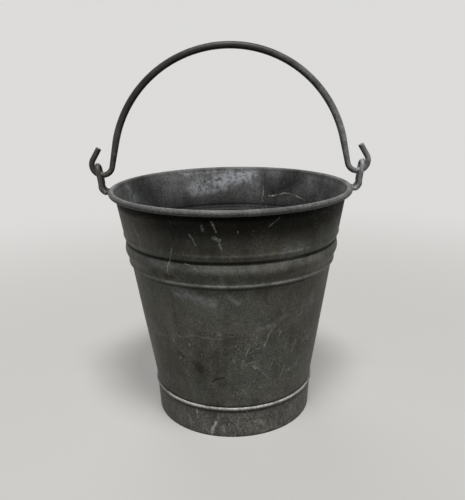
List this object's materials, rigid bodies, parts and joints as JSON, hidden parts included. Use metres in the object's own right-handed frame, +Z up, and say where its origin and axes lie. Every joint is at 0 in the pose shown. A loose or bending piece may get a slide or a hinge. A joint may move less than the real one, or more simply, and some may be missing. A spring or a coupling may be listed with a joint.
{
  "type": "galvanised steel bucket",
  "caption": "Weathered tapered steel bucket with a rolled rim, swaged band, foot ring and a swinging wire bail hooked into two wire ears.",
  "frame": {"origin": "centre of the base, on the surface the bucket stands on", "axes": "+Z up along the bucket's axis, X through the two ears and along the bail's pivot axis, the body's seam at the back on the +Y side"},
  "size_m": [0.3464, 0.2998, 0.4623],
  "materials": {
    "galvanised_sheet": "dull weathered hot-dip galvanising, dark grey, streaked, with pale oxide marks and faint rust-brown stains",
    "bottom_sheet": "dull weathered galvanising with pale oxide and settled dirt",
    "foot_sheet": "dull weathered galvanising with white runs, rubbed bright along the bead",
    "ear_wire": "dull dark grey galvanised wire",
    "bail_wire": "dull dark grey wire, rubbed smooth along the top of the arch"
  },
  "bodies": {
    "bucket": {"body": "galvanised_sheet", "bottom": "bottom_sheet", "foot_ring": "foot_sheet", "rim_wire": "ear_wire"},
    "bail": {"bail": "bail_wire"}
  },
  "joints": [
    {"name": "bail_swing", "type": "hinge", "parent": "bucket", "child": "bail", "pos_m": [0, 0, 0.308], "axis": [1, 0, 0], "range_deg": [-93.8, 93.8]}
  ]
}
